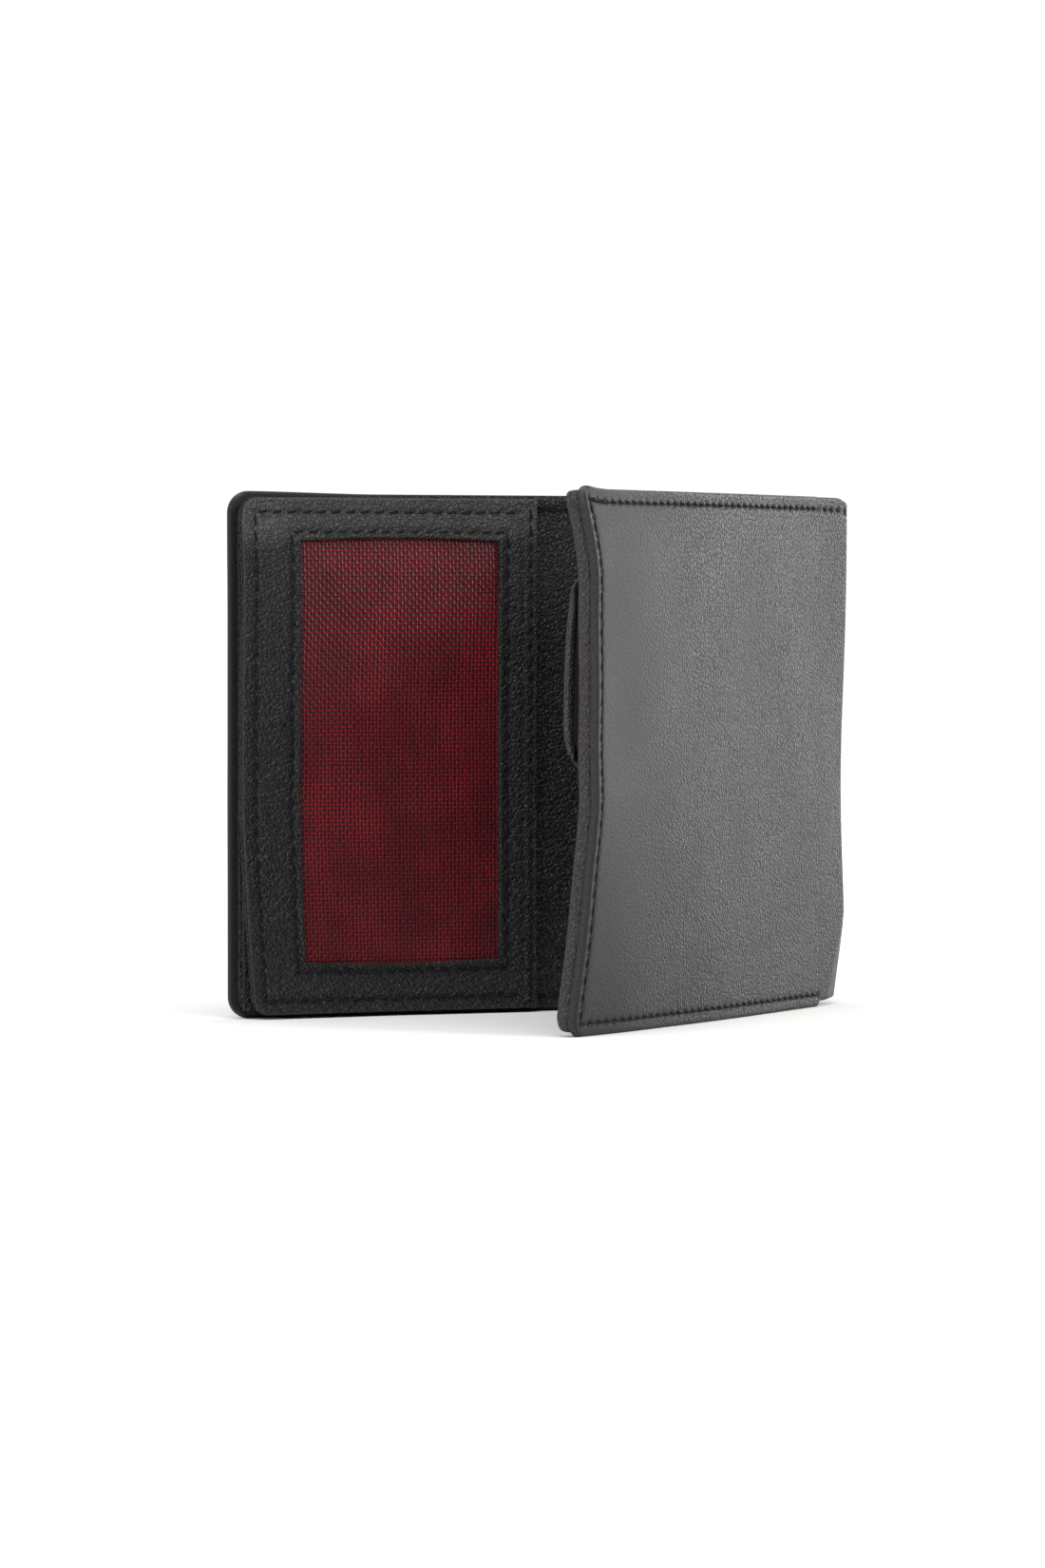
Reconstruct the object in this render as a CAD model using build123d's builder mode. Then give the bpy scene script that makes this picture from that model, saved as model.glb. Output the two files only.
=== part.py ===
"""Leather wallet in landscape format: two covers, a window leaf and a coin pocket.

The wallet stands on its bottom edges, opened like a book. X runs along the back
cover from its free edge to the spine, Y points out through the back cover and Z is
up. The origin is the middle of the bounding box, on the surface that the wallet
stands on. Millimetres.

Each cover has its own face plane: local x runs from left to right as a reader of
the open wallet sees it, local y is up, and local z is the depth from the outer
leather inwards, so every layer is a sketch at its depth, extruded by its thickness.
"""

import os
from math import atan2, cos, degrees, hypot, radians, sin

from build123d import *

os.makedirs("parts", exist_ok=True)

# ---- driving dimensions ----
height = 96.0
cover_length = 125.0  # free edge to the fold in the spine
bare_spine = 13.0  # each side of the fold, where only the outer leather and lining run
spine_rise = (1.0, 95.4)  # the unhemmed spine leather is cut a little shorter than the covers
opening = 42.0  # degrees between the two covers
corner_radius = 4.0

cover_leather = 1.1
panel_leather = 0.8
slot_leather = 0.4  # skived thin, so that the slots build little height
lining_cloth = 0.2
note_gap = 0.3  # empty note compartment between lining and inner panel

stitch_pitch = 3.0
stitch_length = 2.3
thread_width = 0.6
thread_height = 0.25
seam_margin = 2.5

# ---- depths of the layers, from the outer face of a cover inwards ----
lining_depth = cover_leather
panel_depth = lining_depth + lining_cloth + note_gap
panel_face = panel_depth + panel_leather

# ---- window leaf ----
leaf_left = 0.3
leaf_fold_x = 56.9  # the crease where the leaf turns like a page
leaf_right = 59.8
leaf_gap = 0.2
leaf_low = 0.8
leaf_high = height - 0.8
leaf_corner = 3.0
leaf_back_leather = 0.5
net_thickness = 0.3
frame_leather = 0.8
window_left = 11.8
window_width = 40.0
window_low = 10.3
window_height = 77.0
window_lap = 3.5  # net and backing run this far under the frame

# ---- coin pocket and its flap, on the front half ----
pocket_left = 50.0
pocket_right = cover_length - 2.0
pocket_mouth = 68.0
cavity = 0.6
gusset_width = 4.0
flap_fold_z = 80.0
flap_left = 54.0
flap_right = 123.5
flap_low = 46.0
flap_corner = 8.0
flap_start = 1.2  # the stiff flap begins this far below its crease
flap_leather = 0.7
flap_cloth = 0.4
flap_clearance = 0.3

# ---- snap fastener ----
snap_z = 53.0
snap_cap_radius = 4.5
snap_cap_height = 0.9
snap_cap_rounding = 0.6
snap_socket_radius = 4.0
snap_bore_radius = 1.9
snap_knob_radius = 1.5
snap_base_radius = 3.5
snap_base_height = 0.2

# ---- face planes ----
# The fold axis lies in the inner face of the outer leather. The bounding box runs
# from the back cover's free edge to the fold, and from the thread on the back cover
# to the outer corner of the front cover's free edge.
along = (-cos(radians(opening)), -sin(radians(opening)))
inward = (-sin(radians(opening)), cos(radians(opening)))
box_x = cover_length - inward[0] * cover_leather
box_y = thread_height + cover_leather - cover_length * along[1] + cover_leather * inward[1]
fold_x = cover_length - box_x / 2
back_y = box_y / 2 - thread_height
fold_y = back_y - cover_leather

back_face = Plane(origin=(-box_x / 2, back_y, 0), x_dir=(1, 0, 0), z_dir=(0, -1, 0))
front_face = Plane(
    origin=(fold_x - inward[0] * cover_leather, fold_y - inward[1] * cover_leather, 0),
    x_dir=(along[0], along[1], 0),
    z_dir=(inward[0], inward[1], 0),
)


def finish(piece, label):
    """Name a finished piece and write it as its own node."""
    piece.part.label = label
    export_step(piece.part, f"parts/{label}.step")


def sheet(label, face, x_span, z_span, depth, thickness, left_radius=0.0, right_radius=0.0):
    """A flat rectangular layer of leather or cloth with rounded left or right corners."""
    with BuildPart() as layer:
        with BuildSketch(face.offset(depth)) as outline:
            with Locations((sum(x_span) / 2, sum(z_span) / 2)):
                Rectangle(x_span[1] - x_span[0], z_span[1] - z_span[0])
            if left_radius:
                fillet(outline.vertices().group_by(Axis.X)[0], left_radius)
            if right_radius:
                fillet(outline.vertices().group_by(Axis.X)[-1], right_radius)
        extrude(amount=thickness)
    finish(layer, label)


def stitches(corners):
    """Places of the stitches along straight runs between the given corners."""
    places = []
    for (x0, z0), (x1, z1) in zip(corners, corners[1:]):
        run = hypot(x1 - x0, z1 - z0)
        count = round(run / stitch_pitch)
        angle = degrees(atan2(z1 - z0, x1 - x0))
        for step in range(count):
            share = (step + 0.5) / count
            places.append(Location((x0 + share * (x1 - x0), z0 + share * (z1 - z0), 0), (0, 0, angle)))
    return places


def seam(label, face, corners, depth, outside=False):
    """A row of thread stitches that lie on a face; outside ones stand on the outer leather."""
    with BuildPart() as thread:
        with BuildSketch(face.offset(depth)):
            with Locations(*stitches(corners)):
                Rectangle(stitch_length, thread_width)
        extrude(amount=-thread_height if outside else thread_height)
    finish(thread, label)


# ---- back half: outer leather, lining, note compartment wall, card slots ----
back_span = (0.0, cover_length - bare_spine)
sheet(
    "back_cover_leather", back_face, back_span, (0, height), 0, cover_leather,
    left_radius=corner_radius,
)

lining_inset = 3.4
lining_span = (lining_inset, cover_length - bare_spine - 0.5)
lining_rise = (lining_inset, height - lining_inset)
sheet("back_cover_lining", back_face, lining_span, lining_rise, lining_depth, lining_cloth)

panel_span = (0.6, cover_length - bare_spine - 1.0)
panel_rise = (0.6, height - 0.6)
sheet("back_inner_panel", back_face, panel_span, panel_rise, panel_depth, panel_leather, left_radius=3.6)

# Leather edging closes the cover and the inner panel on each other along the free edge and the
# bottom; the note compartment stays open along the top.
edging_width = 2.8


def edging(label, face, free_x, inner_x, is_left):
    """An L of turned-in leather between cover and inner panel, along free edge and bottom."""
    with BuildPart() as fold_in:
        with BuildSketch(face.offset(lining_depth)) as outline:
            with Locations(((free_x + inner_x) / 2, height / 2)):
                Rectangle(abs(inner_x - free_x), height - 1.2)
            free_corners = outline.vertices().group_by(Axis.X)[0 if is_left else -1]
            fillet(free_corners, 3.6)
            hole_low = 0.6 + edging_width
            hole_span = abs(inner_x - free_x) - edging_width
            hole_x = (free_x + inner_x) / 2 + (edging_width / 2 if is_left else -edging_width / 2)
            with Locations((hole_x, (hole_low + height) / 2)):
                Rectangle(hole_span, height - hole_low, mode=Mode.SUBTRACT)
        extrude(amount=lining_cloth + note_gap)
    finish(fold_in, label)


edging("back_turned_edge", back_face, panel_span[0], panel_span[1], is_left=True)

slot_span = (1.2, 56.2)
slot_low = 1.5
slot_tops = (80.0, 64.0)  # upper card slot, lower card slot
sheet("card_slot_upper", back_face, slot_span, (slot_low, slot_tops[0]), panel_face, slot_leather)
lower_slot_depth = panel_face + slot_leather
sheet("card_slot_lower", back_face, slot_span, (slot_low, slot_tops[1]), lower_slot_depth, slot_leather)

# ---- window leaf, turning about its sewn-down right edge ----
leaf_depth = panel_face + 2 * slot_leather + leaf_gap
backing_depth = leaf_depth + leaf_back_leather
net_depth = backing_depth + lining_cloth
frame_depth = net_depth + net_thickness
leaf_face_depth = frame_depth + frame_leather
leaf_span = (leaf_left, leaf_fold_x - 0.15)
leaf_rise = (leaf_low, leaf_high)
window_right = window_left + window_width
window_top = window_low + window_height

sheet(
    "leaf_back_leather", back_face, leaf_span, leaf_rise, leaf_depth, leaf_back_leather,
    left_radius=leaf_corner,
)
net_span = (window_left - window_lap, window_right + window_lap)
net_rise = (window_low - window_lap, window_top + window_lap)
sheet("leaf_window_backing", back_face, net_span, net_rise, backing_depth, lining_cloth)
sheet("leaf_window_net", back_face, net_span, net_rise, net_depth, net_thickness)

with BuildPart() as leaf_frame:
    with BuildSketch(back_face.offset(frame_depth)) as frame_outline:
        with Locations((sum(leaf_span) / 2, sum(leaf_rise) / 2)):
            Rectangle(leaf_span[1] - leaf_span[0], leaf_rise[1] - leaf_rise[0])
        fillet(frame_outline.vertices().group_by(Axis.X)[0], leaf_corner)
        with Locations((window_left + window_width / 2, window_low + window_height / 2)):
            Rectangle(window_width, window_height, mode=Mode.SUBTRACT)
    extrude(amount=frame_leather)
finish(leaf_frame, "leaf_frame")

# The rim between frame and leaf back, outside the net, that both are sewn through.
with BuildPart() as leaf_edge_filler:
    with BuildSketch(back_face.offset(backing_depth)) as filler_outline:
        with Locations((sum(leaf_span) / 2, sum(leaf_rise) / 2)):
            Rectangle(leaf_span[1] - leaf_span[0], leaf_rise[1] - leaf_rise[0])
        fillet(filler_outline.vertices().group_by(Axis.X)[0], leaf_corner)
        with Locations((sum(net_span) / 2, sum(net_rise) / 2)):
            Rectangle(net_span[1] - net_span[0], net_rise[1] - net_rise[0], mode=Mode.SUBTRACT)
    extrude(amount=frame_depth - backing_depth)
finish(leaf_edge_filler, "leaf_edge_filler")

strip_left = leaf_fold_x + 0.15
sheet(
    "leaf_hinge_strip", back_face, (strip_left, leaf_right), leaf_rise, panel_face,
    leaf_face_depth - panel_face,
)

# ---- spine: two bare strips of the outer leather, creased in the middle ----
crease_relief = 1.5  # linings stop short of the fold, so that they don't meet in it
back_spine_span = (cover_length - bare_spine, cover_length)
back_spine_lining = (cover_length - bare_spine + 0.5, cover_length - crease_relief)
front_spine_span = (0.0, bare_spine)
front_spine_lining = (crease_relief, bare_spine - 0.5)
sheet("spine_leather_back", back_face, back_spine_span, spine_rise, 0, cover_leather)
sheet("spine_lining_back", back_face, back_spine_lining, lining_rise, lining_depth, lining_cloth)
sheet("spine_leather_front", front_face, front_spine_span, spine_rise, 0, cover_leather)
sheet("spine_lining_front", front_face, front_spine_lining, lining_rise, lining_depth, lining_cloth)

# ---- front half: outer leather, lining, note compartment wall ----
front_span = (bare_spine, cover_length)
sheet(
    "front_cover_leather", front_face, front_span, (0, height), 0, cover_leather,
    right_radius=corner_radius,
)
front_lining_span = (bare_spine + 0.5, cover_length - lining_inset)
sheet("front_cover_lining", front_face, front_lining_span, lining_rise, lining_depth, lining_cloth)
front_panel_span = (bare_spine + 1.0, cover_length - 0.6)
sheet(
    "front_inner_panel", front_face, front_panel_span, panel_rise, panel_depth, panel_leather,
    right_radius=3.6,
)
edging("front_turned_edge", front_face, front_panel_span[1], front_panel_span[0], is_left=False)

# ---- coin pocket: lining on the back wall, gusset round three sides, front wall, upper strip ----
pocket_cloth_depth = panel_face
gusset_depth = pocket_cloth_depth + lining_cloth
pocket_front_depth = gusset_depth + cavity
pocket_face = pocket_front_depth + panel_leather
pocket_rise = (2.0, pocket_mouth)
pocket_span = (pocket_left, pocket_right)
cloth_rise = (2.0, flap_fold_z - 0.5)
sheet("coin_pocket_lining", front_face, pocket_span, cloth_rise, pocket_cloth_depth, lining_cloth)

with BuildPart() as coin_pocket_gusset:
    with BuildSketch(front_face.offset(gusset_depth)) as gusset_outline:
        with Locations(((pocket_left + pocket_right) / 2, sum(pocket_rise) / 2)):
            Rectangle(pocket_right - pocket_left, pocket_rise[1] - pocket_rise[0])
        mouth_rise = pocket_rise[1] - pocket_rise[0] - gusset_width
        with Locations(((pocket_left + pocket_right) / 2, pocket_rise[1] - mouth_rise / 2)):
            Rectangle(pocket_right - pocket_left - 2 * gusset_width, mouth_rise, mode=Mode.SUBTRACT)
    extrude(amount=cavity)
finish(coin_pocket_gusset, "coin_pocket_gusset")

sheet("coin_pocket_front", front_face, pocket_span, pocket_rise, pocket_front_depth, panel_leather)
strip_rise = (flap_fold_z, height - 2.0)
sheet(
    "coin_flap_mount", front_face, pocket_span, strip_rise, panel_face, pocket_face - panel_face,
    right_radius=2.5,
)

# ---- coin flap: cloth-lined leather tongue, creased along its top ----
flap_depth = pocket_face + flap_clearance
flap_face_depth = flap_depth + flap_cloth + flap_leather
flap_rise = (flap_low, flap_fold_z - flap_start)
snap_x = (flap_left + flap_right) / 2

with BuildPart() as coin_flap_leather:
    with BuildSketch(front_face.offset(flap_depth + flap_cloth)) as flap_outline:
        with Locations((snap_x, sum(flap_rise) / 2)):
            Rectangle(flap_right - flap_left, flap_rise[1] - flap_rise[0])
        fillet(flap_outline.vertices().group_by(Axis.Y)[0], flap_corner)
    extrude(amount=flap_leather)
finish(coin_flap_leather, "coin_flap_leather")

with BuildPart() as coin_flap_lining:
    with BuildSketch(front_face.offset(flap_depth)) as flap_cloth_outline:
        with Locations((snap_x, sum(flap_rise) / 2)):
            Rectangle(flap_right - flap_left, flap_rise[1] - flap_rise[0])
        fillet(flap_cloth_outline.vertices().group_by(Axis.Y)[0], flap_corner)
        with Locations((snap_x, snap_z)):
            Circle(snap_socket_radius, mode=Mode.SUBTRACT)
    extrude(amount=flap_cloth)
finish(coin_flap_lining, "coin_flap_lining")

# ---- snap fastener: domed cap and socket on the flap, stud and back washer on the pocket ----
with BuildPart() as snap_cap:
    with BuildSketch(front_face.offset(flap_face_depth)):
        with Locations((snap_x, snap_z)):
            Circle(snap_cap_radius)
    extrude(amount=snap_cap_height)
    rims = snap_cap.edges().filter_by(GeomType.CIRCLE)
    fillet(rims.sort_by(Axis(front_face.origin, front_face.z_dir))[-1], snap_cap_rounding)
finish(snap_cap, "snap_cap")

with BuildPart() as snap_socket:
    with BuildSketch(front_face.offset(flap_depth)):
        with Locations((snap_x, snap_z)):
            Circle(snap_socket_radius)
            Circle(snap_bore_radius, mode=Mode.SUBTRACT)
    extrude(amount=flap_cloth)
finish(snap_socket, "snap_socket")

with BuildPart() as snap_stud:
    with BuildSketch(front_face.offset(pocket_face)):
        with Locations((snap_x, snap_z)):
            Circle(snap_base_radius)
    extrude(amount=snap_base_height)
    with BuildSketch(front_face.offset(pocket_face + snap_base_height)):
        with Locations((snap_x, snap_z)):
            Circle(snap_knob_radius)
    extrude(amount=flap_clearance)
finish(snap_stud, "snap_stud")

with BuildPart() as snap_washer:
    with BuildSketch(front_face.offset(gusset_depth + cavity / 2)):
        with Locations((snap_x, snap_z)):
            Circle(snap_base_radius)
    extrude(amount=cavity / 2)
finish(snap_washer, "snap_washer")

# ---- seams: waxed thread stitches, one node for each row ----
cover_low = seam_margin
cover_top = height - seam_margin
back_run = [
    (back_span[1] - 1, cover_low), (seam_margin, cover_low),
    (seam_margin, cover_top), (back_span[1] - 1, cover_top),
]
front_run = [
    (bare_spine + 1, cover_low), (cover_length - seam_margin, cover_low),
    (cover_length - seam_margin, cover_top), (bare_spine + 1, cover_top),
]
seam("back_cover_seam", back_face, back_run, 0, outside=True)
seam("front_cover_seam", front_face, front_run, 0, outside=True)

leaf_seam_left = leaf_left + seam_margin
leaf_seam_low = leaf_low + seam_margin
leaf_seam_top = leaf_high - seam_margin
leaf_run = [
    (leaf_span[1] - 1, leaf_seam_low), (leaf_seam_left, leaf_seam_low),
    (leaf_seam_left, leaf_seam_top), (leaf_span[1] - 1, leaf_seam_top),
]
seam("leaf_edge_seam", back_face, leaf_run, leaf_face_depth)

window_margin = 1.8
window_run = [
    (window_left - window_margin, window_low - window_margin),
    (window_right + window_margin, window_low - window_margin),
    (window_right + window_margin, window_top + window_margin),
    (window_left - window_margin, window_top + window_margin),
    (window_left - window_margin, window_low - window_margin),
]
seam("leaf_window_seam", back_face, window_run, leaf_face_depth)

hinge_seam_x = (strip_left + leaf_right) / 2
seam("leaf_hinge_seam", back_face, [(hinge_seam_x, 2.0), (hinge_seam_x, height - 2.0)], leaf_face_depth)

pocket_run = [
    (pocket_left + 1.5, pocket_mouth), (pocket_left + 1.5, 3.5),
    (pocket_right - 1.5, 3.5), (pocket_right - 1.5, pocket_mouth),
]
seam("coin_pocket_seam", front_face, pocket_run, pocket_face)

# Inner ends of the cover seams, on the note compartment walls beside leaf and coin pocket.
hem_low = 2.8
hem_top = height - 2.8
panel_seams = {
    "back_panel_seam": (back_face, leaf_right + 0.7, panel_span[1]),
    "front_panel_seam": (front_face, front_panel_span[0], pocket_left - 0.5),
}
for label, (face, seam_from, seam_to) in panel_seams.items():
    with BuildPart() as panel_thread:
        with BuildSketch(face.offset(panel_face)):
            low_row = stitches([(seam_from, hem_low), (seam_to, hem_low)])
            top_row = stitches([(seam_from, hem_top), (seam_to, hem_top)])
            with Locations(*low_row, *top_row):
                Rectangle(stitch_length, thread_width)
        extrude(amount=thread_height)
    finish(panel_thread, label)

mount_seam_z = flap_fold_z + 2.0
mount_run = [(pocket_left + 1.5, mount_seam_z), (pocket_right - 1.5, mount_seam_z)]
seam("coin_flap_seam", front_face, mount_run, pocket_face)
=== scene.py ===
"""A landscape leather wallet, standing half open on its bottom edges like a small book.

Lengths are millimetres, and become metres where a mesh is made. Every layer of a cover is
laid out on that cover: x along it, z up, and depth from its outer face inwards. Depths and
spans are those of the frame's parts.
"""

import math

import bpy
import numpy as np
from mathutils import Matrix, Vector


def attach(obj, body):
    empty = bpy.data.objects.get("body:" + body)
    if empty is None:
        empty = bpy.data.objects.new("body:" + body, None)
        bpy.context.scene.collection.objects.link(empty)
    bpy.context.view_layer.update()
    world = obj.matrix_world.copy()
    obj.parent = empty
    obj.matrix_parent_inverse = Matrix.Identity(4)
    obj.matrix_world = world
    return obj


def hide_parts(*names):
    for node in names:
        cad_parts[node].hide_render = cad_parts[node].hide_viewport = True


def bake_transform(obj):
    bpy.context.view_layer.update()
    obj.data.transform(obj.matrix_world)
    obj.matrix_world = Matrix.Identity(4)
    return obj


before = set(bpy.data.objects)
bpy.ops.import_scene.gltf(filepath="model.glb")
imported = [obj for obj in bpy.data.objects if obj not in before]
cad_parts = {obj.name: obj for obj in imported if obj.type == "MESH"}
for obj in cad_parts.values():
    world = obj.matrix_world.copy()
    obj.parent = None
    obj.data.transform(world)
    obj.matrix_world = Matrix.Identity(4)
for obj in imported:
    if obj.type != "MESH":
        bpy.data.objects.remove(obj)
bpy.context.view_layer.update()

# ---- Studio ----
# A seamless pale floor in an even white room. A wide soft sun comes from the upper left, a
# large soft light low on the right lays a grey sheen on the outer leather, and a small one
# high in front picks out the grain.
FLOOR_WHITE = "#f3f2f0"
CAMERA_AT = (-594.9, -1203.4, 76.0)
CAMERA_YAW = 25.38
CAMERA_PITCH = -1.4
LENS = 170.0


def srgb(code):
    """The linear colour, with alpha, of an sRGB hex code."""
    parts = [int(code[i:i + 2], 16) / 255 for i in (1, 3, 5)]
    return (*[p / 12.92 if p < 0.04045 else ((p + 0.055) / 1.055) ** 2.4 for p in parts], 1.0)


def add(tree, kind, sockets=(), **settings):
    """One shader node with its settings; a socket is given a value or another node's output."""
    node = tree.nodes.new("ShaderNode" + kind)
    for name, value in settings.items():
        setattr(node, name, value)
    for name, value in dict(sockets).items():
        if isinstance(value, bpy.types.NodeSocket):
            tree.links.new(value, node.inputs[name])
        else:
            node.inputs[name].default_value = value
    return node


def surface(name):
    """A material with an empty node tree, and that tree, for a finish to be built in."""
    material = bpy.data.materials.new(name)
    material.use_nodes = True
    material.node_tree.nodes.clear()
    return material, material.node_tree


def finish_with(tree, **sockets):
    """Ends a finish with its shader; a socket's name is given with underscores for its spaces."""
    names = {key.replace("_", " "): value for key, value in sockets.items()}
    shader = add(tree, "BsdfPrincipled", names)
    add(tree, "OutputMaterial", {"Surface": shader.outputs[0]})


FLOOR_HALF = 20.0
floor_mesh = bpy.data.meshes.new("studio_floor")
floor_corners = [(a * FLOOR_HALF, b * FLOOR_HALF, 0) for a, b in ((-1, -1), (1, -1), (1, 1), (-1, 1))]
floor_mesh.from_pydata(floor_corners, [], [(0, 1, 2, 3)])
studio_floor = bpy.data.objects.new("studio_floor", floor_mesh)
bpy.context.collection.objects.link(studio_floor)
floor_paper, tree = surface("matte_white_paper")
finish_with(tree, Base_Color=srgb(FLOOR_WHITE), Roughness=0.9)
floor_mesh.materials.append(floor_paper)

# The room lights the wallet less than it shows: its white stays clean behind dark leather.
ROOM_LIGHT, ROOM_SEEN = 0.62, 1.05
world = bpy.data.worlds.new("white_room")
world.use_nodes = True
tree = world.node_tree
background = tree.nodes["Background"]
background.inputs["Color"].default_value = (1.0, 1.0, 1.0, 1.0)
seen = add(tree, "MapRange", {"Value": add(tree, "LightPath").outputs["Is Camera Ray"],
                              "To Min": ROOM_LIGHT, "To Max": ROOM_SEEN})
tree.links.new(seen.outputs[0], background.inputs["Strength"])
bpy.context.scene.world = world
bpy.context.scene.view_settings.view_transform = "Standard"


def softbox(name, at, aim, size, watts):
    """A square area light at a place in metres, facing another."""
    lamp = bpy.data.lights.new(name, "AREA")
    lamp.shape = "RECTANGLE"
    lamp.size, lamp.size_y = size
    lamp.energy = watts
    holder = bpy.data.objects.new(name, lamp)
    holder.location = at
    from_to = Vector(aim) - Vector(at)
    holder.rotation_euler = from_to.to_track_quat("-Z", "Y").to_euler()
    bpy.context.collection.objects.link(holder)


WALLET_MIDDLE = (0.0, 0.0, 0.05)
softbox("sheen_light", (1.05, 0.62, 0.30), WALLET_MIDDLE, (0.7, 0.7), 6.0)
softbox("front_light", (0.50, -1.00, 0.62), WALLET_MIDDLE, (0.3, 0.3), 5.0)

SUN_WAY = (0.30, 0.42, -1.0)
SUN_SPREAD = 50
sun = bpy.data.lights.new("upper_left_sun", "SUN")
sun.energy = 2.1
sun.angle = math.radians(SUN_SPREAD)
sun_holder = bpy.data.objects.new("upper_left_sun", sun)
sun_holder.rotation_euler = Vector(SUN_WAY).to_track_quat("-Z", "Y").to_euler()
bpy.context.collection.objects.link(sun_holder)

camera = bpy.data.objects.new("camera", bpy.data.cameras.new("camera"))
camera.data.lens = LENS
camera.data.clip_start = 0.05
camera.location = [c / 1000 for c in CAMERA_AT]
camera.rotation_euler = (math.radians(90 + CAMERA_PITCH), 0, math.radians(-CAMERA_YAW))
bpy.context.collection.objects.link(camera)
bpy.context.scene.camera = camera

# ---- Outer leather ----
# One piece of black nappa calf goes round the whole wallet. Its hems are turned in and
# stitched on three sides of each cover; the spine between them is bare and folds in the middle.
HEIGHT = 96.0
COVER = 125.0
BARE_SPINE = 13.0
OPENING = math.radians(42.0)
LEATHER = 1.1
TURNED = 1.6
HEM = 9.0
COVER_CORNER = 4.0
SPINE_LOW, SPINE_HIGH = 1.0, 95.9
FOLD_X, FOLD_Y = 62.132, 41.5544
FOLD_RADIUS = 1.4
PITCH = 3.0
COVER_MARGIN = 2.3

ALONG = np.array([-math.cos(OPENING), -math.sin(OPENING)])
INWARD = np.array([-math.sin(OPENING), math.cos(OPENING)])
# The outer face goes round the fold on an arc a little wider than the leather is thick.
ARC_OFF = (FOLD_RADIUS - LEATHER) / math.sin(OPENING / 2)
ARC_RUN = (FOLD_RADIUS - LEATHER) / math.tan(OPENING / 2)
ARC_SWEEP = math.pi - OPENING
ARC_X = FOLD_X - ARC_OFF * math.cos(OPENING / 2)
ARC_Y = FOLD_Y - ARC_OFF * math.sin(OPENING / 2)


def on_back(x, z, depth):
    """A place on the back cover, x from its free edge."""
    return np.stack([FOLD_X - COVER + x, FOLD_Y + LEATHER - depth, z], -1)


def on_front(x, z, depth):
    """A place on the front cover, x from the fold."""
    deep = depth - LEATHER
    return np.stack([FOLD_X + ALONG[0] * x + INWARD[0] * deep,
                     FOLD_Y + ALONG[1] * x + INWARD[1] * deep, z], -1)


BOW_MIDDLE, BOW_SPAN, BOW_REACH = 42, 26, 7


def fold_bow(x, z):
    """How far the fold is drawn in between the covers, most at half height, or out at its ends."""
    drawn = 1.75 * np.exp(-((z - BOW_MIDDLE) / BOW_SPAN) ** 2) + 0.7 * np.exp(-(z / 12) ** 2) - 1.2
    way = -drawn * np.exp(-(x / BOW_REACH) ** 2)
    return np.stack([way * math.cos(OPENING / 2), way * math.sin(OPENING / 2), 0 * way], -1)


DENT_ON_FRONT, DENT_ON_BACK, DENT_UP = 10.0, 5.0, 19.0
DENT_DEPTH = 2.5


def fold_dent(x, z):
    """The low end of the fold is pushed back, past a soft slanting crease that ends at the hem."""
    past = np.clip(1 - np.where(x > 0, x / DENT_ON_FRONT, -x / DENT_ON_BACK) - z / DENT_UP, 0, 1)
    pushed = DENT_DEPTH * past ** 2 / (past + 0.07)
    return np.stack([-pushed * math.sin(OPENING), pushed * math.cos(OPENING), 0 * pushed], -1)


def on_wrap(x, z, depth):
    """A place on the whole outer piece: x is the run from the fold, minus on the back cover."""
    turn = math.pi / 2 - (x + ARC_RUN) / (2 * ARC_RUN) * ARC_SWEEP
    radius = FOLD_RADIUS - depth
    arc = np.stack([ARC_X + radius * np.cos(turn), ARC_Y + radius * np.sin(turn), z], -1)
    place = np.where((x > ARC_RUN)[..., None], on_front(x, z, depth), arc)
    place = np.where((x < -ARC_RUN)[..., None], on_back(COVER + x, z, depth), place)
    return place + fold_bow(x, z) + fold_dent(x, z)


def ease(t):
    """A smooth step from 0 to 1."""
    t = np.clip(t, 0, 1)
    return t * t * (3 - 2 * t)


def ripple(x, z, seed, size=0.12):
    """The slight unevenness of a glued and sewn leather panel."""
    dice = np.random.default_rng(seed)
    total = np.zeros_like(x)
    for _ in range(6):
        angle, wave, shift = dice.uniform(0, math.pi), dice.uniform(18, 55), dice.uniform(0, 6.28)
        total = total + np.sin((x * math.cos(angle) + z * math.sin(angle)) * 6.28 / wave + shift)
    return size * total / 3


def front_curl(x, z):
    """How far the front cover's free edge curls inwards, most at its two corners."""
    reach = np.clip((x - 45) / 80, 0, 1) ** 2
    corner = 3.0 * np.clip((z - 79) / 16, 0, 1) ** 1.8 + 4.6 * np.clip((42 - z) / 42, 0, 1) ** 1.2
    return reach * (corner - 0.25)


def front_shape(x, z, depth):
    """Every layer of the front cover: curled, uneven, and drawn up a little at its top free corner."""
    drawn_up = 1.1 * np.clip((x - 112) / 13, 0, 1) ** 2 * np.clip((z - 84) / 12, 0, 1) ** 2
    return x, z + drawn_up, depth + front_curl(x, z) + ripple(x, z, 5) * ease((x - 14) / 20)


def back_shape(x, z, depth):
    """Every layer of the back cover: flat, and a little uneven away from the spine."""
    return x, z, depth + ripple(x, z, 8, 0.08) * ease((100 - x) / 20)


BACK_OVERHANG, BACK_RISE = 0.9, 0.5


def wrap_shape(x, z, depth):
    """The outer piece follows both covers. It is shorter at the spine and longer at the back's free edge."""
    bare = ease((BARE_SPINE + 0.45 - np.abs(x)) / 0.8)
    rounding = 0.7 * np.exp(-(x / 2.2) ** 2)
    z = z + bare * (SPINE_LOW - z * (HEIGHT - SPINE_HIGH + SPINE_LOW + rounding) / HEIGHT)
    front = front_shape(x, z, depth)
    back = back_shape(COVER + x, z, depth)[2]
    spare = ease((-x - 95) / 28)
    x, z = x - BACK_OVERHANG * spare, z + BACK_RISE * spare * ease((z - 78) / 16)
    return x, np.where(x > 0, front[1], z), np.where(x > 0, front[2], back)


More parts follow.
